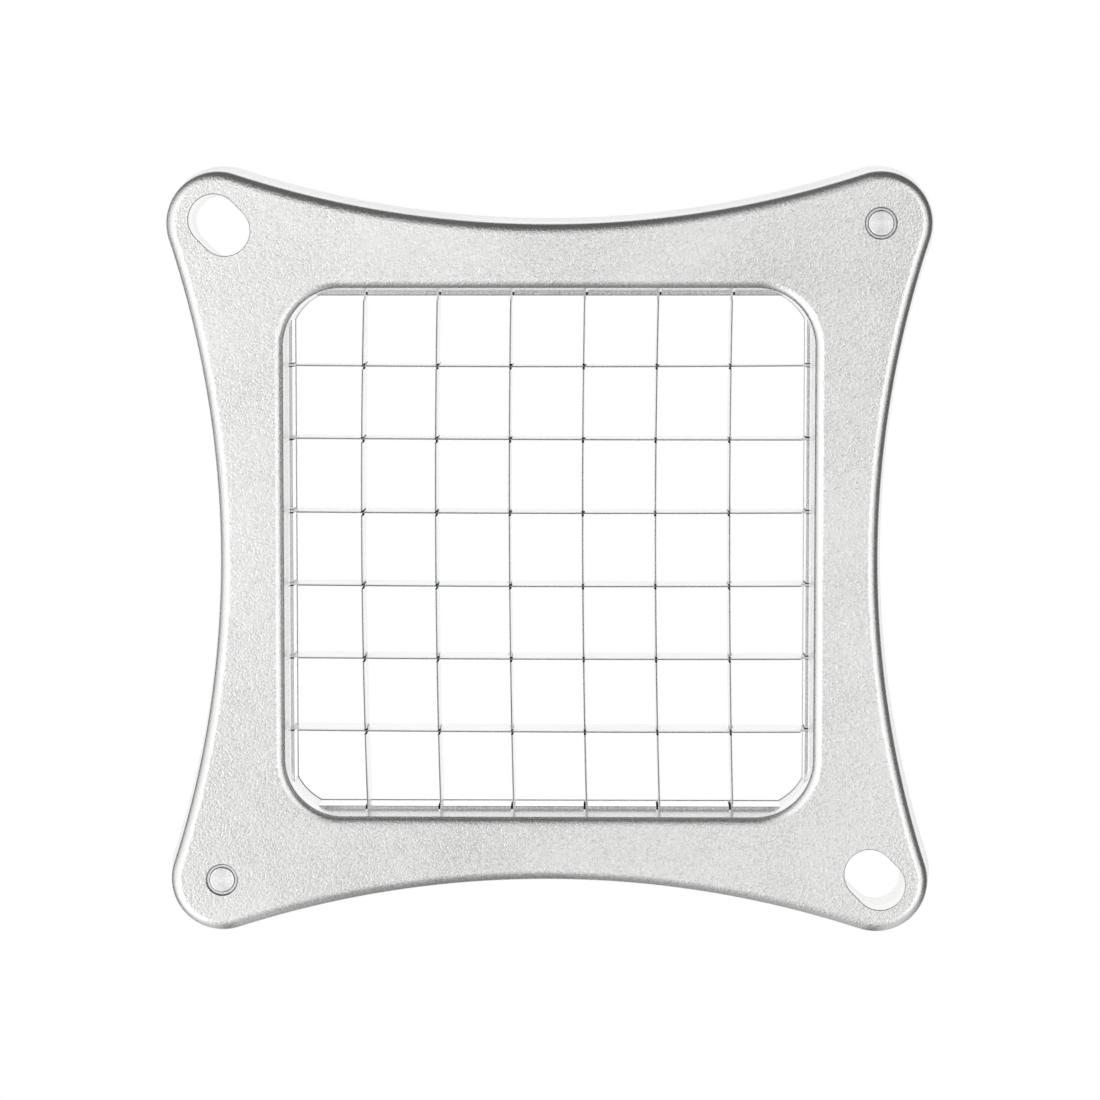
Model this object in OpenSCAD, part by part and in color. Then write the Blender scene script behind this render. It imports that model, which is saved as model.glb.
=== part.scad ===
// Blade cassette of a push-type vegetable dicer.
// Two cast aluminium frame halves clamp a woven grid of twelve strip blades.
// Origin: middle of the underside. +Z points up out of the feed side, where the cutting edges face.

/* [Frame] */
// Overall depth of the two closed frame halves
frame_depth = 12.7; // [12:0.1:15]
// Height of the joint between the lower and the upper frame
seam_z = 7.2; // [6.5:0.1:8]
// Distance of each corner lobe and rivet from the centre line
corner_offset = 56.8; // [55.5:0.1:60]
// Radius of each corner lobe at the top of the side wall
lobe_r = 9.0; // [8:0.1:10]
// How far the foot of the drafted side wall stands outside its top
wall_flare = 1.2; // [0.6:0.1:1.6]
// Radius of the rounded outer top edge
outer_round = 2.0; // [1:0.1:2]
// Radius of the rounded top edge of the opening
inner_round = 1.8; // [1:0.1:1.8]

/* [Opening] */
// Width of the feed opening at its straight walls
opening_w = 91.4; // [91:0.1:92]
// Corner radius of the feed opening
opening_r = 10.0; // [6:0.1:11]
// How far the slotted lands stand in from the opening walls
land_step = 1.15; // [1:0.05:1.3]
// How far the upper frame's sloped lip stands back from the lands
ledge_w = 0.55; // [0.3:0.05:0.6]

/* [Blades] */
// Distance between neighbouring blades
blade_pitch = 12.7; // [12:0.1:12.8]
// How far the cross blades sit off centre, towards the rear rail
grid_shift = 0.7; // [0:0.1:0.8]
// Height of the cutting edges above the underside
blade_top = 9.6; // [9.4:0.1:10.5]
// Height of a blade between the lands
blade_h = 9.3; // [8.5:0.1:9.4]
// Thickness of a blade
blade_t = 0.4; // [0.3:0.05:0.5]
// Height of the ground bevel along a cutting edge
bevel_h = 0.8; // [0.4:0.1:1.2]
// Width of the notches where two blades cross
notch_w = 1.0; // [0.7:0.05:1.2]
// Width of the slots that hold the blade ends
slot_w = 0.7; // [0.6:0.05:0.9]

/* [Blade retention] */
// Diameter of the rods through the blade ends
rod_d = 3.0; // [2:0.1:3.4]
// Distance of each rod from the centre line
rod_offset = 50.8; // [50.6:0.1:51]
// Length of each rod
rod_length = 72; // [70:1:73]
// Width of the channel around each rod
channel_w = 5.2; // [5:0.1:5.4]

/* [Corner fixings] */
// Width of the slanted mounting slots
mount_slot_w = 8.7; // [7.5:0.1:9]
// Distance of each mounting slot from the centre line
mount_slot_offset = 56.5; // [56:0.1:57.5]
// Distance between the end centres of a mounting slot
mount_slot_travel = 2.6; // [1.5:0.1:3]
// Diameter of the rivet shanks
rivet_d = 4.3; // [3.5:0.1:4.5]
// Diameter of the ring groove around each rivet head
rivet_groove_d = 5.6; // [5.2:0.1:6]
// Diameter of the formed rivet foot on the underside
rivet_foot_d = 7.0; // [6:0.1:7.5]

/* [Hidden] */

$fn = 64;
cut = 1;                                  // how far a cutting tool runs past the metal
blade_count = 6;
half_open = opening_w / 2;
half_land = half_open - land_step;
corner_c = half_open - opening_r;         // centre of an opening corner
land_end = corner_c + 0.7 * opening_r;    // lands and lips end inside the metal of the corners
half_lip = half_land + ledge_w;           // inner edge of the upper frame above the lands
bite = 0.5;                               // how far added metal runs into the wall behind it
round_steps = 3;                          // flats that make up a rounded edge
flare_top = frame_depth - outer_round;    // where the drafted wall ends
side_r = (pow(corner_offset, 2) - pow(lobe_r, 2)) / (2 * lobe_r);  // tangent to both lobes
side_c = corner_offset + side_r;          // centre of a concave side

tab_floor = 1.3;                          // floor of the blade slots and rod channels
blade_bottom = blade_top - blade_h;
blade_shoulder = half_land - 0.85;        // where the full height of a blade ends
blade_end = rod_offset + 2.2;
tab_top = seam_z - 0.1;                   // top of the tabs at the blade ends
tab_bottom = tab_floor + 0.05;
edge_flat = 0.08;                         // width left on a ground cutting edge
notch_depth = blade_h / 2 + 0.15;
rod_z = (tab_floor + tab_top) / 2;
rod_hole_d = rod_d + 0.2;
channel_end = rod_length / 2 + 0.5;
rivet_hole_d = rivet_d + 0.1;
rivet_groove_h = 0.5;
rivet_top = frame_depth - 0.15;
rivet_foot_h = 1.2;
foot_clearance = 0.05;                    // gap above a rivet foot

// Outward offset of the drafted side wall at a height
function flare_at(z) = wall_flare * (1 - z / flare_top);

// Place of blade number i, counted from the negative side
function blade_place(i) = (i - (blade_count + 1) / 2) * blade_pitch;

// Place of blade slot i along the side turned by q quarters: only the right and left sides hold cross blades
function slot_place(i, q) = blade_place(i) + [grid_shift, 0, -grid_shift, 0][q];

// Side profile of a rounded edge: heights and inset steps of a quarter round below z
function quarter_round(z, r) =
    [for (k = [0:round_steps]) let (a = 90 * k / round_steps) [z - r * (1 - sin(a)), r * (1 - cos(a))]];

// Turned body whose radius is r plus side times the offset of each [height, offset] in the profile
module turned(profile, r, side) {
    points = [for (p = profile) [r + side * p[1], p[0]]];
    rotate_extrude() polygon(concat([[0, profile[0][0]]], points, [[0, profile[len(profile) - 1][0]]]));
}

// Frame outline whose side wall follows a profile of [height, outward offset].
// The lobes and the concave sides are turned bodies that stay tangent at every height.
module outline(profile) {
    z0 = profile[0][0];
    depth = profile[len(profile) - 1][0] - z0;
    reach = (lobe_r + profile[0][1]) / (side_r + lobe_r);
    core = [for (q = [0:3]) for (p = [[side_r, -corner_offset], [0, 0], [-corner_offset, side_r]])
        let (x = corner_offset + reach * p[0], y = corner_offset + reach * p[1])
        [x * cos(90 * q) - y * sin(90 * q), x * sin(90 * q) + y * cos(90 * q)]];
    difference() {
        union() {
            translate([0, 0, z0]) linear_extrude(depth) polygon(core);
            each_side() translate([corner_offset, corner_offset, 0]) turned(profile, lobe_r, 1);
        }
        each_side() translate([side_c, 0, 0]) turned(profile, side_r, -1, $fn = 360);
    }
}

// Rounded square opening whose walls follow a profile of [height, outward offset]
module opening(profile) {
    right = [for (p = profile) [half_open + p[1], p[0]]];
    left = [for (k = [len(profile) - 1:-1:0]) [-right[k][0], right[k][1]]];
    for (q = [0, 90]) rotate(q) rotate([90, 0, 90]) translate([0, 0, -corner_c])
        linear_extrude(2 * corner_c) polygon(concat(right, left));
    each_side() translate([corner_c, corner_c, 0]) turned(profile, opening_r, 1);
}

// The four sides, one after the other, with the side wall across +X
module each_side() {
    for (q = [0:3]) rotate(90 * q) children();
}

// Slanted slot with round ends through both frame halves
module mount_slots() {
    for (s = [-1, 1]) translate([-s * mount_slot_offset, s * mount_slot_offset, -cut]) rotate(-45) {
        for (e = [-1, 1]) translate([e * mount_slot_travel / 2, 0, 0])
            cylinder(h = frame_depth + 2 * cut, d = mount_slot_w);
        translate([-mount_slot_travel / 2, -mount_slot_w / 2, 0])
            cube([mount_slot_travel, mount_slot_w, frame_depth + 2 * cut]);
    }
}

// Copies its children to the two rivet corners
module at_rivets() {
    for (s = [-1, 1]) translate([s * corner_offset, s * corner_offset, 0]) children();
}

// Lower casting: carries the slotted lands, the blade slots and the rod channels
module lower_frame() {
    color("gainsboro") difference() {
        union() {
            difference() {
                outline([[0, flare_at(0)], [seam_z, flare_at(seam_z)]]);
                opening([[-cut, 0], [seam_z + cut, 0]]);
            }
            each_side() translate([half_land, -land_end, 0])
                cube([land_step + bite, 2 * land_end, seam_z]);
        }
        for (q = [0:3]) rotate(90 * q) {
            for (i = [1:blade_count]) translate([half_land - cut, slot_place(i, q) - slot_w / 2, tab_floor])
                cube([rod_offset - half_land + cut, slot_w, seam_z]);
            translate([rod_offset - channel_w / 2, -channel_end, tab_floor])
                cube([channel_w, 2 * channel_end, seam_z]);
        }
        mount_slots();
        at_rivets() {
            translate([0, 0, -cut]) cylinder(h = seam_z + 2 * cut, d = rivet_hole_d);
            translate([0, 0, -cut]) cylinder(h = cut + rivet_foot_h + foot_clearance, d = rivet_foot_d + 0.1);
        }
    }
}

// Upper casting: the cover over the rods and blade ends, with the rounded feed edge and sloped lips
module upper_frame() {
    inner_foot = frame_depth - inner_round;
    color("whitesmoke") difference() {
        union() {
            difference() {
                outline(concat([[seam_z, flare_at(seam_z)]],
                    [for (p = quarter_round(frame_depth, outer_round)) [p[0], -p[1]]]));
                opening(concat([[seam_z - cut, 0]], quarter_round(frame_depth, inner_round),
                    [[frame_depth + cut, inner_round]]));
            }
            each_side() translate([0, land_end, 0]) rotate([90, 0, 0]) linear_extrude(2 * land_end)
                polygon([[half_lip, seam_z], [half_open + bite, seam_z],
                    [half_open + bite, inner_foot], [half_open + bite / 10, inner_foot]]);
        }
        mount_slots();
        at_rivets() {
            translate([0, 0, seam_z - cut]) cylinder(h = frame_depth, d = rivet_hole_d);
            translate([0, 0, frame_depth - rivet_groove_h]) cylinder(h = cut, d = rivet_groove_d);
        }
    }
}

// Strip blade along X with a tab and a rod hole at each end, a ground top edge and notches from one side
module blade(notched_from_top) {
    notch_z = notched_from_top ? blade_top - notch_depth : blade_bottom - cut;
    notch_shift = notched_from_top ? grid_shift : 0;
    color("silver") difference() {
        rotate([90, 0, 90]) translate([0, 0, -blade_end]) linear_extrude(2 * blade_end)
            polygon([[-blade_t / 2, blade_bottom], [blade_t / 2, blade_bottom],
                [blade_t / 2, blade_top - bevel_h], [edge_flat / 2, blade_top],
                [-edge_flat / 2, blade_top], [-blade_t / 2, blade_top - bevel_h]]);
        for (i = [1:blade_count])
            translate([blade_place(i) + notch_shift - notch_w / 2, -blade_t, notch_z])
                cube([notch_w, 2 * blade_t, notch_depth + cut]);
        for (s = [-1, 1]) {
            translate([s * rod_offset, blade_t, rod_z]) rotate([90, 0, 0])
                cylinder(h = 2 * blade_t, d = rod_hole_d);
            for (z = [tab_bottom - blade_h, tab_top])
                translate([s > 0 ? blade_shoulder : -blade_end - cut, -blade_t, z])
                    cube([blade_end - blade_shoulder + cut, 2 * blade_t, blade_h]);
        }
    }
}

// Blade across the frame, notched from below so that it drops over the long blades
module cross_blade(i) {
    translate([0, blade_place(i) + grid_shift, 0]) blade(false);
}

// Blade along the frame, notched from above
module long_blade(i) {
    translate([blade_place(i), 0, 0]) rotate(90) blade(true);
}

// Retaining rod through one row of blade ends, on the side at angle q
module rod(q) {
    color("darkgray") rotate(q) translate([rod_offset, rod_length / 2, rod_z]) rotate([90, 0, 0])
        cylinder(h = rod_length, d = rod_d);
}

// Rivet that joins the frame halves, with a flush head and a formed foot
module rivet(s) {
    color("lightgray") translate([s * corner_offset, s * corner_offset, 0]) {
        cylinder(h = rivet_top, d = rivet_d);
        cylinder(h = rivet_foot_h, d = rivet_foot_d);
    }
}

lower_frame();
upper_frame();
for (i = [1:blade_count]) {
    cross_blade(i);
    long_blade(i);
}
rod(0);  // rod_right
rod(90);  // rod_rear
rod(180);  // rod_left
rod(270);  // rod_front
rivet(1);  // rivet_rear_right
rivet(-1);  // rivet_front_left
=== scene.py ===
"""Looks of the dicer's blade cassette: two cast frame halves, twelve strip blades, four rods and two rivets.

Sizes are in millimetres until a mesh is made. Z is up out of the feed side, Y runs towards the rear rail.
"""

import math

import bmesh
import bpy
from mathutils import Matrix, Vector


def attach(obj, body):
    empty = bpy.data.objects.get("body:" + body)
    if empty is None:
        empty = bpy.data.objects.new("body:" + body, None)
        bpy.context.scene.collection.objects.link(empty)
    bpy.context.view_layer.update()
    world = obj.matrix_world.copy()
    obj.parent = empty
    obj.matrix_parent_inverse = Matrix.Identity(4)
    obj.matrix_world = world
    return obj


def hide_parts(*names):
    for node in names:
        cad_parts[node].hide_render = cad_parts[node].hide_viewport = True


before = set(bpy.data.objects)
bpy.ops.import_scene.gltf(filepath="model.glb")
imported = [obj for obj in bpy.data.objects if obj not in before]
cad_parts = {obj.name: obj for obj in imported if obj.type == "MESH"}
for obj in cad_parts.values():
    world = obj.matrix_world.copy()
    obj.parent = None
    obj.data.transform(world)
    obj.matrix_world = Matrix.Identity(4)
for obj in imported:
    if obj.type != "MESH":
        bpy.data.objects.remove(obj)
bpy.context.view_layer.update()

MM = 0.001
PAST = 1.0                       # how far a cutter runs past the face that it cuts
SINK = 0.5                       # how far an added solid is sunk into the casting

# Castings
DEPTH, SEAM = 12.7, 7.2
CORNER, LOBE_R = 56.8, 9.0       # centre and radius of the corner lobes
FLARE = 1.2                      # lean of the side wall, from the face down to the foot
FOOT_ROUND, FOOT_ROUND_H = 0.35, 0.4     # inset and height of the rounded lower edge
FOOT_KNEE, FOOT_KNEE_H = 0.1, 0.12       # the point in the middle of that edge
OUTER_ROUND = 2.0
INNER_ROUND, INNER_DROP = 1.8, 1.35
SEAM_BREAK = 0.12                # bevel along the joint of the two castings
EDGE_BREAK = 0.06                # width that every other sharp edge loses
HALF_OPEN, OPENING_R = 45.7, 10.0
HALF_LAND, HALF_LIP = 44.55, 45.1
LAND_BREAK = 0.1
FLASH = 0.11                     # thin fin left along the foot of the opening

# Blades and rods
PITCH, BLADES, GRID_SHIFT = 12.7, 6, 0.7
BLADE_T, BLADE_TOP, BLADE_H = 0.4, 9.6, 9.3
BEVEL_H, KNEE_H = 0.8, 0.13      # ground cutting edge, and its steeper last part
LOW_BREAK, KNEE_IN, EDGE_HALF = 0.05, 0.09, 0.01
BLADE_END, BLADE_SHOULDER, BLADE_STEPS = 53.0, 43.7, 106
TAB_FLOOR, TAB_TOP, TAB_PLAY = 1.3, 7.1, 0.05
NOTCH_W, NOTCH_DEPTH = 1.0, 4.8
NOTCH_PLAY = 0.2                 # the cross blades lean on the rear side of the long blades' notches
SLOT_W = 0.7
ROD_OFFSET, ROD_D, ROD_LENGTH, ROD_Z = 50.8, 3.0, 72.0, 4.2
ROD_CHAMFER, ROD_HOLE_D = 0.25, 3.2
CHANNEL_W, CHANNEL_END = 5.2, 36.5
BURR_BELOW, BURR_H = 0.3, 0.4    # top of the burrs under the cutting edge, and their height
BURR_REACH, BURR_LEAST = 0.85, 0.25
BURR_PER_COLUMN, BURR_PER_ROW = 0.13, 0.08

# Mounting slots and rivets
MOUNT_W, MOUNT_TRAVEL, MOUNT_OFFSET = 8.7, 2.6, 56.5
RIM = 0.12                       # chamfer round the mounting slots
RIVET_D, RIVET_TOP, RIVET_PLAY = 4.3, 12.55, 0.05
GROOVE_D, GROOVE_DEPTH, GROOVE_WALL = 5.6, 0.45, 0.24
FOOT_D, FOOT_H = 7.0, 1.2

SIDE_R = (CORNER ** 2 - LOBE_R ** 2) / (2 * LOBE_R)
FLARE_TOP = DEPTH - OUTER_ROUND
CORNER_C = HALF_OPEN - OPENING_R
LAND_END = CORNER_C + 0.7 * OPENING_R

UP, DOWN = 1, -1


# ---------------------------------------------------------------- closed curves at one height

def turned_point(x, y, quarter):
    c, s = ((1, 0), (0, 1), (-1, 0), (0, -1))[quarter]
    return x * c - y * s, x * s + y * c


def on_arc(x, y, r, a, quarter, z):
    """The point at angle a on an arc round (x, y), turned by a number of quarters."""
    return (*turned_point(x + r * math.cos(a), y + r * math.sin(a), quarter), z)


def outline_ring(z, offset, lobe_steps=36, side_steps=40):
    """The frame's outline: four round lobes joined by concave arcs."""
    lean = math.atan2(CORNER, SIDE_R)
    lean_side = math.pi / 2 - lean
    points = []
    for quarter in range(4):
        for k in range(lobe_steps + 1):
            a = -lean + (math.pi / 2 + 2 * lean) * k / lobe_steps
            points.append(on_arc(CORNER, CORNER, LOBE_R + offset, a, quarter, z))
        for k in range(1, side_steps):
            a = -lean_side - (math.pi - 2 * lean_side) * k / side_steps
            points.append(on_arc(0, CORNER + SIDE_R, SIDE_R - offset, a, quarter, z))
    return points


def opening_ring(z, offset, corner_steps=20, side_steps=16):
    """The feed opening: a rounded square."""
    r, points = OPENING_R + offset, []
    for quarter in range(4):
        for k in range(corner_steps + 1):
            points.append(on_arc(CORNER_C, CORNER_C, r, math.pi / 2 * k / corner_steps, quarter, z))
        for k in range(1, side_steps):
            x = CORNER_C * (1 - 2 * k / side_steps)
            points.append((*turned_point(x, CORNER_C + r, quarter), z))
    return points


def slot_ring(z, offset, centre, steps=20):
    """A round-ended slot whose long axis runs from the rear left to the front right."""
    r, points = MOUNT_W / 2 + offset, []
    for end in (0, 1):
        for k in range(steps + 1):
            a = math.pi * (k / steps + end) - 3 * math.pi / 4
            push = MOUNT_TRAVEL / 2 * (1 if end == 0 else -1)
            points.append((centre[0] + push * math.sqrt(0.5) + r * math.cos(a),
                           centre[1] - push * math.sqrt(0.5) + r * math.sin(a), z))
    return points


def circle(x, y, r, steps):
    """Points anticlockwise round a circle."""
    angles = (2 * math.pi * k / steps for k in range(steps))
    return [(x + r * math.cos(a), y + r * math.sin(a)) for a in angles]


def circle_ring(z, r, centre, steps=48):
    return [(x, y, z) for x, y in circle(*centre, r, steps)]


def flare_at(z):
    return FLARE * (1 - z / FLARE_TOP)


def quarter_round(top, width, drop, steps=12):
    """(height, inset) pairs up a rounded edge, a quarter of an ellipse that ends level at the top."""
    angles = (math.pi / 2 * k / steps for k in range(steps + 1))
    return [(top - drop * (1 - math.sin(a)), width * (1 - math.cos(a))) for a in angles]


# ---------------------------------------------------------------- solids

def loft(name, rings):
    """A closed solid through rings of equal length, from the lowest up."""
    bm = bmesh.new()
    rows = [[bm.verts.new(Vector(p) * MM) for p in ring] for ring in rings]
    for low, high in zip(rows, rows[1:]):
        for k in range(len(low)):
            n = (k + 1) % len(low)
            bm.faces.new((low[k], low[n], high[n], high[k]))
    bm.faces.new(reversed(rows[0]))
    bm.faces.new(rows[-1])
    mesh = bpy.data.meshes.new(name)
    bm.to_mesh(mesh)
    bm.free()
    obj = bpy.data.objects.new(name, mesh)
    bpy.context.scene.collection.objects.link(obj)
    return obj


def prism(name, outline, z0, z1):
    return loft(name, [[(x, y, z) for x, y in outline] for z in (z0, z1)])


def side_prism(name, outline, y0, y1):
    """A prism along Y from an outline in X and Z."""
    return loft(name, [[(x, y, z) for x, z in outline] for y in (y0, y1)])


def box(name, low, high):
    (x0, y0, z0), (x1, y1, z1) = low, high
    return prism(name, [(x0, y0), (x1, y0), (x1, y1), (x0, y1)], z0, z1)


def joined(objs):
    """One object with the meshes of several, and with the materials of the first."""
    bm = bmesh.new()
    for o in objs:
        o.data.transform(o.matrix_basis)
        bm.from_mesh(o.data)
    bm.to_mesh(objs[0].data)
    bm.free()
    objs[0].matrix_basis = Matrix.Identity(4)
    for o in objs[1:]:
        bpy.data.objects.remove(o)
    return objs[0]


def applied(obj, *modifiers):
    """Applies the modifiers that are on obj."""
    bpy.context.view_layer.update()
    mesh = bpy.data.meshes.new_from_object(obj.evaluated_get(bpy.context.evaluated_depsgraph_get()))
    obj.modifiers.clear()
    obj.data = mesh
    return obj


def combine(obj, operation, tools, surface=None):
    """Cuts or adds the tools. The new faces take surface, or else the tools' own material."""
    if surface:
        tools[0].data.materials.append(surface)
    tool = joined(tools)
    modifier = obj.modifiers.new("combine", "BOOLEAN")
    modifier.operation, modifier.object, modifier.solver = operation, tool, "EXACT"
    modifier.material_mode = "TRANSFER"
    applied(obj)
    bpy.data.objects.remove(tool)
    return obj


def around(make):
    """The solid that make(quarter) returns for each side, turned onto that side."""
    solids = []
    for quarter in range(4):
        o = make(quarter)
        o.matrix_basis = Matrix.Rotation(math.pi / 2 * quarter, 4, "Z")
        solids.append(o)
    return solids


def eased(obj):
    """Breaks the sharp edges and keeps the flat faces flat in the shading."""
    bevel = obj.modifiers.new("edges", "BEVEL")
    bevel.width, bevel.segments, bevel.limit_method = EDGE_BREAK * MM, 2, "ANGLE"
    bevel.angle_limit = math.radians(40)
    bevel.use_clamp_overlap = True
    bevel.miter_outer = "MITER_ARC"
    applied(obj)
    return shaded(obj)


def shaded(obj, angle=35):
    for p in obj.data.polygons:
        p.use_smooth = True
    obj.data.set_sharp_from_angle(angle=math.radians(angle))
    normals = obj.modifiers.new("normals", "WEIGHTED_NORMAL")
    normals.keep_sharp, normals.weight = True, 80
    return obj


# ---------------------------------------------------------------- materials

class Nodes:
    """Short names for building a node tree."""

    def __init__(self, tree):
        self.tree = tree
        tree.nodes.clear()

    def add(self, kind, inputs=None, **settings):
        node = self.tree.nodes.new(kind)
        for key, value in settings.items():
            setattr(node, key, value)
        for key, value in (inputs or {}).items():
            if isinstance(value, bpy.types.NodeSocket):
                self.tree.links.new(value, node.inputs[key])
            else:
                node.inputs[key].default_value = value
        return node

    def maths(self, operation, *values):
        return self.add("ShaderNodeMath", dict(enumerate(values)), operation=operation).outputs[0]

    def vector(self, operation, *values, output="Vector"):
        node = self.add("ShaderNodeVectorMath", dict(enumerate(values)), operation=operation)
        return node.outputs[output]

    def noise(self, where, scale, detail=3.0, roughness=0.55):
        return self.add("ShaderNodeTexNoise", {"Vector": where, "Scale": scale, "Detail": detail,
                                               "Roughness": roughness}).outputs[0]

    def span(self, value, low, high, out_low, out_high, kind="LINEAR"):
        node = self.add("ShaderNodeMapRange", {"Value": value, "From Min": low, "From Max": high,
                                               "To Min": out_low, "To Max": out_high})
        node.interpolation_type = kind
        return node.outputs[0]

    def blend(self, share, a, b):
        node = self.add("ShaderNodeMix", data_type="RGBA")
        for socket, value in ((node.inputs[0], share), (node.inputs[6], a), (node.inputs[7], b)):
            if isinstance(value, bpy.types.NodeSocket):
                self.tree.links.new(value, socket)
            else:
                socket.default_value = value
        return node.outputs[2]

    def metal(self, tone, roughness, height, strength, distance, metallic=1.0):
        """A metal surface with fine relief, as the material's output."""
        bump = self.add("ShaderNodeBump", {"Strength": strength, "Distance": distance, "Height": height})
        shader = self.add("ShaderNodeBsdfPrincipled", {"Base Color": tone, "Metallic": metallic,
                                                       "Roughness": roughness, "Normal": bump.outputs[0]})
        self.add("ShaderNodeOutputMaterial", {"Surface": shader.outputs[0]})


def material(name):
    made = bpy.data.materials.new(name)
    made.use_nodes = True
    return made, Nodes(made.node_tree)


def grey(v, tint=(1.0, 1.0, 1.0)):
    return (v * tint[0], v * tint[1], v * tint[2], 1.0)


def cast_metal(name, light, dark, rough, grain, relief):
    """Cast aluminium: a pebbled skin, deeper on the level face and at the rear left, under faint oxide."""
    made, n = material(name)
    where = n.add("ShaderNodeTexCoord").outputs["Object"]
    pebbles = n.noise(where, grain, 2.0, 0.6)
    clouds = n.noise(where, 45.0, 3.0, 0.5)
    swell = n.noise(where, 420.0, 2.0, 0.5)
    tone = n.blend(n.span(clouds, 0.35, 0.65, 0.0, 1.0), grey(dark, (1, 1, 0.99)), grey(light, (1, 1, 0.99)))
    tone = n.blend(n.span(pebbles, 0.35, 0.65, 0.25, 0.0), tone, grey(dark * 0.8))
    roughness = n.maths("ADD", n.span(pebbles, 0.3, 0.7, rough - 0.05, rough + 0.06),
                        n.span(clouds, 0.3, 0.7, -0.03, 0.03))
    upward = n.add("ShaderNodeSeparateXYZ", {0: n.add("ShaderNodeTexCoord").outputs["Normal"]}).outputs["Z"]
    rear_left = n.vector("DOT_PRODUCT", where, (-9.0, 9.0, 0.0), output="Value")
    depth = n.maths("MULTIPLY", n.span(upward, 0.7, 0.99, 0.2, 1.0), n.span(rear_left, 0.0, 1.0, 0.85, 1.6))
    height = n.maths("MULTIPLY", n.maths("ADD", pebbles, n.maths("MULTIPLY", swell, 0.35)), depth)
    n.metal(tone, roughness, height, relief, 0.0002)
    return made


def machined_metal(name, value, rough):
    """Freshly cut aluminium: bright, with fine upright tool marks."""
    made, n = material(name)
    where = n.add("ShaderNodeTexCoord").outputs["Object"]
    marks = n.noise(n.vector("MULTIPLY", where, (2400.0, 2400.0, 150.0)), 1.0, 3.0, 0.6)
    smears = n.noise(where, 260.0, 3.0, 0.5)
    tone = n.blend(n.span(smears, 0.4, 0.7, 0.0, 0.5), grey(value), grey(value * 0.9))
    n.metal(tone, n.span(marks, 0.3, 0.7, rough - 0.05, rough + 0.08), marks, 0.3, 0.00003)
    return made


def ground_steel(name, value, rough, along):
    """Stainless strip or rod, with fine grinding lines along one axis."""
    made, n = material(name)
    where = n.add("ShaderNodeTexCoord").outputs["Object"]
    stretch = tuple(60.0 if axis == along else 3200.0 for axis in range(3))
    lines = n.noise(n.vector("MULTIPLY", where, stretch), 1.0, 3.0, 0.6)
    film = n.noise(where, 70.0, 3.0, 0.5)
    cool, warm = (0.99, 1, 1.01), (1.0, 0.99, 0.97)
    tone = n.blend(n.span(lines, 0.3, 0.7, 0.0, 1.0), grey(value * 0.9, cool), grey(value, cool))
    tone = n.blend(n.span(film, 0.45, 0.7, 0.0, 0.25), tone, grey(value * 0.75, warm))
    n.metal(tone, n.span(lines, 0.3, 0.7, rough - 0.06, rough + 0.06), lines, 0.25, 0.00002)
    return made


def turned_metal(name, value, rough):
    """Rivet metal: faint turning rings and small nicks."""
    made, n = material(name)
    where = n.add("ShaderNodeTexCoord").outputs["Generated"]
    level = n.vector("MULTIPLY", n.vector("ADD", where, (-0.5, -0.5, 0.0)), (1.0, 1.0, 0.0))
    rings = n.maths("SINE", n.maths("MULTIPLY", n.vector("LENGTH", level, output="Value"), 190.0))
    nicks = n.noise(where, 14.0, 4.0, 0.65)
    tone = n.blend(n.span(nicks, 0.4, 0.7, 0.0, 0.6), grey(value), grey(value * 0.72))
    roughness = n.span(nicks, 0.3, 0.7, rough - 0.06, rough + 0.08)
    n.metal(tone, roughness, n.maths("ADD", n.maths("MULTIPLY", rings, 0.2), nicks), 0.4, 0.00006)
    return made


def shade_painted_metal(name, value, rough):
    """Cut metal in narrow gaps, painted dark to stand for the shade that falls in them, with random patches
    of tone.
    """
    made, n = material(name)
    where = n.add("ShaderNodeTexCoord").outputs["Object"]
    patches = n.noise(where, 900.0, 4.0, 0.6)
    tone = n.blend(n.span(patches, 0.35, 0.65, 0.0, 1.0), grey(value * 0.6), grey(value * 1.4))
    n.metal(tone, rough, patches, 0.4, 0.00005, metallic=0.6)
    return made


face_metal = cast_metal("cast_face", light=0.90, dark=0.84, rough=0.28, grain=2300.0, relief=0.45)
body_metal = cast_metal("cast_body", light=0.88, dark=0.82, rough=0.30, grain=2300.0, relief=0.4)
machined = machined_metal("machined_lands", value=0.93, rough=0.22)
# Painted shade: the blade slots and rod channels of the lower casting are painted near black for the shade
# inside them.
painted_slot_shade = shade_painted_metal("slot_painted_shade", value=0.09, rough=0.5)
# Painted shade: the blades' notch faces and burrs are painted near black for the shade at the blade
# crossings.
sheared_edge_painted_shade = shade_painted_metal("blade_sheared_painted_shade", value=0.03, rough=0.6)
blade_x = ground_steel("blade_across", value=0.88, rough=0.28, along=0)
blade_y = ground_steel("blade_along", value=0.88, rough=0.28, along=1)
rod_x = ground_steel("rod_across", value=0.6, rough=0.35, along=0)
rod_y = ground_steel("rod_along", value=0.6, rough=0.35, along=1)
rivet_metal = turned_metal("rivet_metal", value=0.92, rough=0.30)
# Painted shade: the ring groove round each rivet is painted dark for the shade in the groove.
groove_painted_shade = shade_painted_metal("rivet_groove_painted_shade", value=0.22, rough=0.45)


def placed(obj, node):
    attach(obj, "root")
    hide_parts(node)
    return obj


# ---------------------------------------------------------------- frame halves

slot_centres = ((-MOUNT_OFFSET, MOUNT_OFFSET), (MOUNT_OFFSET, -MOUNT_OFFSET))
rivet_centres = ((CORNER, CORNER), (-CORNER, -CORNER))


def blade_place(i):
    return (i - (BLADES - 1) / 2) * PITCH


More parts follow.
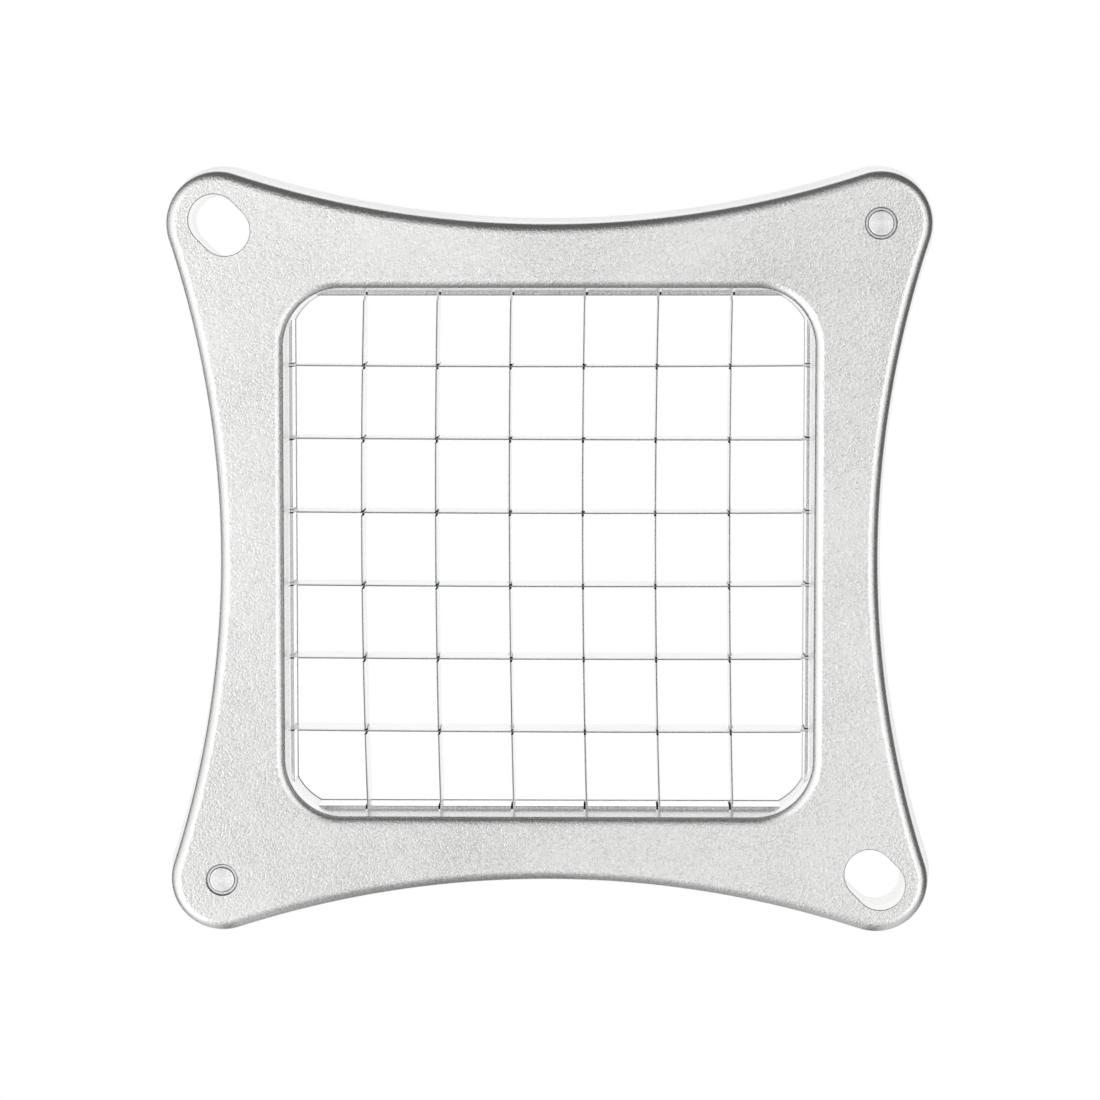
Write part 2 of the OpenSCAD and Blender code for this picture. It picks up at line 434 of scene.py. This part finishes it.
def mount_cutters(low, high):
    """Slot cutters with a small chamfer at the end that comes out at the open face."""
    rows = [(low - PAST, RIM if low == 0 else 0)]
    if low == 0:
        rows += [(0, RIM), (RIM, 0)]
    if high == DEPTH:
        rows += [(DEPTH - RIM, 0), (DEPTH, RIM)]
    rows.append((high + PAST, RIM if high == DEPTH else 0))
    return [loft("cutter", [slot_ring(z, offset, centre) for z, offset in rows]) for centre in slot_centres]


def rivet_cutters(rows):
    """Round cutters on the rivets' axes, from (height, radius) rows."""
    return [loft("cutter", [circle_ring(z, r, centre) for z, r in rows]) for centre in rivet_centres]


def land(_):
    """Machined land with a thin flash line at its foot and a broken top edge."""
    outline = [(HALF_LAND - FLASH, 0), (HALF_LAND, FLASH), (HALF_LAND, SEAM - LAND_BREAK),
               (HALF_LAND + LAND_BREAK, SEAM), (HALF_OPEN + SINK, SEAM), (HALF_OPEN + SINK, 0)]
    return side_prism("land", outline, -LAND_END, LAND_END)


def comb(quarter):
    """One rod channel with its blade slots. The cross blades on the right and left sit off centre."""
    shift = (GRID_SHIFT, 0, -GRID_SHIFT, 0)[quarter]
    left, right, tip = ROD_OFFSET - CHANNEL_W / 2, ROD_OFFSET + CHANNEL_W / 2, HALF_LAND - PAST
    points = [(right, -CHANNEL_END), (right, CHANNEL_END), (left, CHANNEL_END)]
    for i in reversed(range(BLADES)):
        y = blade_place(i) + shift
        y0, y1 = y - SLOT_W / 2, y + SLOT_W / 2
        points += [(left, y1), (tip, y1), (tip, y0), (left, y0)]
    return prism("cutter", points + [(left, -CHANNEL_END)], TAB_FLOOR, SEAM + PAST)


def lip(_):
    """Sloped lip that leads from the opening wall down to the ledge over the lands."""
    foot = DEPTH - INNER_DROP
    outline = [(HALF_LIP, SEAM), (HALF_OPEN + SINK, SEAM), (HALF_OPEN + SINK, foot),
               (HALF_OPEN + SINK / 10, foot)]
    return side_prism("lip", outline, LAND_END, -LAND_END)


BORE_R = RIVET_D / 2 + RIVET_PLAY


def lower_casting():
    """The lower half: flared walls, machined lands, rod channels, blade slots and rivet counterbores."""
    outline = [(0, flare_at(0) - FOOT_ROUND), (FOOT_KNEE_H, flare_at(0) - FOOT_KNEE),
               (FOOT_ROUND_H, flare_at(FOOT_ROUND_H)), (SEAM - SEAM_BREAK, flare_at(SEAM)),
               (SEAM, flare_at(SEAM) - SEAM_BREAK)]
    opening = [(-PAST, -FLASH), (0, -FLASH), (FLASH, 0), (SEAM + PAST, 0)]
    casting = loft("lower_casting", [outline_ring(z, offset) for z, offset in outline])
    casting.data.materials.append(body_metal)
    combine(casting, "DIFFERENCE", [loft("cutter", [opening_ring(z, offset) for z, offset in opening])])
    combine(casting, "UNION", around(land), machined)
    # The faces cut by the channels and blade slots take the painted-shade material.
    combine(casting, "DIFFERENCE", around(comb), painted_slot_shade)
    step = FOOT_H + RIVET_PLAY
    counterbore = [(-PAST, FOOT_D / 2 + 3 * RIVET_PLAY), (step, FOOT_D / 2 + RIVET_PLAY),
                   (step + 0.01, BORE_R), (SEAM + PAST, BORE_R)]
    return eased(combine(casting, "DIFFERENCE", mount_cutters(0, SEAM) + rivet_cutters(counterbore)))


def upper_casting():
    """The upper half: rounded edges, the lips over the lands and the ring grooves round the rivets."""
    outline = [(SEAM, flare_at(SEAM) - SEAM_BREAK), (SEAM + SEAM_BREAK, flare_at(SEAM))]
    outline += [(z, -inset) for z, inset in quarter_round(DEPTH, OUTER_ROUND, OUTER_ROUND)]
    opening = [(SEAM - PAST, 0), *quarter_round(DEPTH, INNER_ROUND, INNER_DROP), (DEPTH + PAST, INNER_ROUND)]
    casting = loft("upper_casting", [outline_ring(z, offset) for z, offset in outline])
    casting.data.materials.append(face_metal)
    combine(casting, "DIFFERENCE", [loft("cutter", [opening_ring(z, offset) for z, offset in opening])])
    combine(casting, "UNION", around(lip))
    combine(casting, "DIFFERENCE", mount_cutters(SEAM, DEPTH))
    groove_r, floor_r = GROOVE_D / 2, GROOVE_D / 2 - GROOVE_WALL
    groove = [(SEAM - PAST, BORE_R), (DEPTH - 0.6, BORE_R), (DEPTH - 0.5, BORE_R + 0.05),
              (DEPTH - GROOVE_DEPTH, groove_r - 0.2), (DEPTH - 0.3, groove_r), (DEPTH + PAST, groove_r)]
    # The groove's faces take the painted-shade material.
    combine(casting, "DIFFERENCE", rivet_cutters(groove), groove_painted_shade)
    combine(casting, "DIFFERENCE", rivet_cutters([(DEPTH - 0.5, floor_r), (DEPTH + PAST, floor_r)]), machined)
    return eased(casting)


placed(lower_casting(), "lower_frame")
placed(upper_casting(), "upper_frame")


# ---------------------------------------------------------------- blades

def bow(t, sway, tilt):
    """Sideways offset along a blade, held at the lands, where t is -1 and 1."""
    t = max(-1.0, min(1.0, t))
    return sway * (1 - t * t) - tilt * t


def notch(x, end, way):
    """Cutter for a notch with a round end at height end, open UP or DOWN."""
    r, steps = NOTCH_W / 2, 8
    angles = (math.pi * k / steps for k in range(steps + 1))
    curve = [(x - r * math.cos(a), end + way * r * (1 - math.sin(a))) for a in angles]
    mouth = end + way * (NOTCH_DEPTH + PAST)
    return side_prism("cutter", [(x - r, mouth), *curve, (x + r, mouth)], way, -way)


def strip(name, steel, notches, way):
    """A straight strip blade along X: cutting edge on top, notches open UP or DOWN, a tab at each end."""
    half, low, high = BLADE_T / 2, BLADE_TOP - BLADE_H, BLADE_TOP
    right = [(half - LOW_BREAK, low), (half, low + LOW_BREAK), (half, high - BEVEL_H),
             (half - KNEE_IN, high - KNEE_H), (EDGE_HALF, high)]
    section = right + [(-y, z) for y, z in reversed(right)]
    places = (BLADE_END * (2 * k / BLADE_STEPS - 1) for k in range(BLADE_STEPS + 1))
    blade = loft(name, [[(x, y, z) for y, z in section] for x in places])
    blade.data.materials.append(steel)
    cutters = []
    for side in (-1, 1):
        near, far = sorted((side * BLADE_SHOULDER, side * (BLADE_END + PAST)))
        cutters.append(box("cutter", (near, -PAST, low - PAST), (far, PAST, TAB_FLOOR + TAB_PLAY)))
        cutters.append(box("cutter", (near, -PAST, TAB_TOP), (far, PAST, high + PAST)))
        hole = circle(side * ROD_OFFSET, ROD_Z, ROD_HOLE_D / 2, 24)
        cutters.append(side_prism("cutter", hole, PAST, -PAST))
    combine(blade, "DIFFERENCE", cutters, steel)
    end = high - NOTCH_DEPTH if way == UP else low + NOTCH_DEPTH
    # The notch faces take the painted-shade material.
    return combine(blade, "DIFFERENCE", [notch(x, end, way) for x in notches], sheared_edge_painted_shade)


def burred(blade, places):
    """Adds the burrs that the punch threw up beside the notches, from (place along the blade, reach). The
    burrs take the dark notch material, painted shade for the dark marks beside the crossings.
    """
    # The burrs take the notch's painted-shade material.
    dark = blade.data.materials.find(sheared_edge_painted_shade.name)
    top, y = BLADE_TOP - BURR_BELOW, 0.12
    burrs = []
    for x, reach in places:
        tip_x, tip_y = x + y + reach, y + 0.7 * reach
        outline = [(x + 0.1, y), (x + 0.34, y), (tip_x, tip_y), (tip_x - 0.12, tip_y + 0.06)]
        burr = prism("burr", outline, top - BURR_H, top)
        for facet in burr.data.polygons:
            facet.material_index = dark
        burrs.append(burr)
    return joined([blade] + burrs)


def bowed(blade, sway, tilt):
    for v in blade.data.vertices:
        v.co.y += MM * bow(v.co.x / MM / HALF_LAND, sway, tilt)
    return blade


# (sway, tilt) of each blade, from the front to the rear and from the left to the right
cross_bows = ((-0.14, 0.10), (-0.13, 0.07), (-0.17, 0.06), (-0.15, 0.05), (-0.08, 0.12), (-0.20, 0.02))
long_bows = ((-0.70, 0.17), (-0.57, 0.20), (-0.49, 0.22), (-0.52, 0.20), (-0.62, 0.19), (-0.50, 0.20))


def burr_reach(column, row):
    """How far a burr reaches from its notch. The burrs are longest at the rear left."""
    return BURR_REACH - BURR_PER_COLUMN * column - BURR_PER_ROW * (BLADES - 1 - row)


for i, (sway, tilt) in enumerate(cross_bows):
    y = blade_place(i) + GRID_SHIFT
    notches = [blade_place(k) + bow(y / HALF_LAND, *long_bows[k]) for k in range(BLADES)]
    blade = strip(f"cross_strip_{i + 1}", blade_x, notches, DOWN)
    burrs = [(x, burr_reach(k, i)) for k, x in enumerate(notches)]
    blade = burred(blade, [(x, reach) for x, reach in burrs if reach > BURR_LEAST])
    bowed(blade, sway, tilt).data.transform(Matrix.Translation((0, y * MM, 0)))
    placed(shaded(blade, 25), f"cross_blade_{i + 1}")
for i, (sway, tilt) in enumerate(long_bows):
    notches = [blade_place(k) + GRID_SHIFT - NOTCH_PLAY for k in range(BLADES)]
    blade = strip(f"long_strip_{i + 1}", blade_y, notches, UP)
    turn = Matrix.Translation((blade_place(i) * MM, 0, 0)) @ Matrix.Rotation(math.pi / 2, 4, "Z")
    bowed(blade, -sway, -tilt).data.transform(turn)
    placed(shaded(blade, 25), f"long_blade_{i + 1}")


# ---------------------------------------------------------------- rods and rivets

def rod(name, quarter):
    half = ROD_LENGTH / 2
    straight = half - ROD_CHAMFER
    rings = []
    for y, inset in ((-half, ROD_CHAMFER), (-straight, 0), (straight, 0), (half, ROD_CHAMFER)):
        rings.append([(ROD_OFFSET + x, y, ROD_Z + z) for z, x in circle(0, 0, ROD_D / 2 - inset, 32)])
    made = loft(name, rings)
    made.data.transform(Matrix.Rotation(math.pi / 2 * quarter, 4, "Z"))
    return shaded(made)


def rivet(name, centre):
    """A rivet: a pin with a rounded head at the top and a formed foot in the counterbore."""
    pin, foot = RIVET_D / 2, FOOT_D / 2
    rows = [(0.0, foot - 0.35), (0.1, foot - 0.1), (0.35, foot), (FOOT_H - 0.1, foot), (FOOT_H, foot - 0.1),
            (FOOT_H, pin), (RIVET_TOP - 0.25, pin), (RIVET_TOP - 0.08, pin - 0.07), (RIVET_TOP, pin - 0.28)]
    return shaded(loft(name, [circle_ring(z, r, centre) for z, r in rows]))


for quarter, side in enumerate(("right", "rear", "left", "front")):
    made = rod(f"retaining_rod_{side}", quarter)
    made.data.materials.append(rod_y if side in ("left", "right") else rod_x)
    placed(made, f"rod_{side}")

for centre, corner in zip(rivet_centres, ("rear_right", "front_left")):
    made = rivet(f"rivet_pin_{corner}", centre)
    made.data.materials.append(rivet_metal)
    placed(made, f"rivet_{corner}")


# ---------------------------------------------------------------- stage, light and camera

def floor_material():
    """Pale paper, blown out to white by even light."""
    made, n = material("studio_floor")
    glow = n.add("ShaderNodeEmission", {"Color": (1.0, 1.0, 1.0, 1.0), "Strength": 1.0})
    n.add("ShaderNodeOutputMaterial", {"Surface": glow.outputs[0]})
    return made


FLOOR_HALF, FLOOR_GAP = 4000.0, 0.2
floor_mesh = bpy.data.meshes.new("studio_floor")
bm = bmesh.new()
bmesh.ops.create_grid(bm, x_segments=8, y_segments=8, size=FLOOR_HALF * MM)
bm.to_mesh(floor_mesh)
bm.free()
floor = bpy.data.objects.new("studio_floor", floor_mesh)
floor.location.z = -FLOOR_GAP * MM
floor_mesh.materials.append(floor_material())
bpy.context.scene.collection.objects.link(floor)
floor.visible_diffuse = floor.visible_glossy = floor.visible_shadow = floor.visible_transmission = False

world = bpy.data.worlds.new("studio")
bpy.context.scene.world = world
world.use_nodes = True
sky = Nodes(world.node_tree)
direction = sky.add("ShaderNodeTexCoord").outputs["Generated"]


def softbox(towards, inner, outer, strength):
    """Light from around one direction that fades out between two angles in degrees."""
    facing = sky.vector("DOT_PRODUCT", direction, tuple(Vector(towards).normalized()), output="Value")
    edge, core = math.cos(math.radians(outer)), math.cos(math.radians(inner))
    return sky.span(facing, edge, core, 0.0, strength, "SMOOTHSTEP")


AMBIENT, GAP = 0.12, 0.24        # light from everywhere, and half the width of the dark gap across the top
left = softbox((-0.77, 0.0, 0.64), 20, 75, 0.90)
front = softbox((0.0, -0.97, 0.26), 25, 80, 0.58)
below = softbox((0.0, 0.0, -1.0), 16, 56, 1.05)
right = softbox((0.57, 0.0, 0.82), 8, 50, 0.78)
above = softbox((0.0, 0.05, 1.0), 2, 65, 0.38)
across = sky.maths("ABSOLUTE", sky.add("ShaderNodeSeparateXYZ", {0: direction}).outputs["X"])
gap = sky.span(across, 0.0, GAP, 0.0, 1.0, "SMOOTHSTEP")
overhead = sky.maths("ADD", sky.maths("ADD", right, above), sky.maths("ADD", left, front))
total = sky.maths("ADD", sky.maths("MULTIPLY", overhead, gap), sky.maths("ADD", below, AMBIENT))
white = (1.0, 1.0, 1.0, 1.0)
studio = sky.add("ShaderNodeBackground", {"Color": white, "Strength": total})
backdrop = sky.add("ShaderNodeBackground", {"Color": white, "Strength": 1.0})
seen = sky.add("ShaderNodeLightPath").outputs["Is Camera Ray"]
mixed = sky.add("ShaderNodeMixShader", {0: seen, 1: studio.outputs[0], 2: backdrop.outputs[0]})
sky.add("ShaderNodeOutputWorld", {"Surface": mixed.outputs[0]})

# Nearly straight above, a little towards the rear and the right, in metres
CAMERA_PLACE, CAMERA_BACK = (0.00996, 0.04636, 0.6092), (0.01627, 0.07618, 0.99696)
camera_data = bpy.data.cameras.new("camera")
camera_data.sensor_width, camera_data.lens = 36.0, 113.7
camera_data.clip_start, camera_data.clip_end = 0.01, 50.0
camera = bpy.data.objects.new("camera", camera_data)
bpy.context.scene.collection.objects.link(camera)
back = Vector(CAMERA_BACK).normalized()
side = Vector((0.0, 1.0, 0.0)).cross(back).normalized()
aim = Matrix((side, back.cross(side), back)).transposed().to_4x4()
camera.matrix_world = Matrix.Translation(CAMERA_PLACE) @ aim
bpy.context.scene.camera = camera
bpy.context.scene.view_settings.view_transform = "Standard"
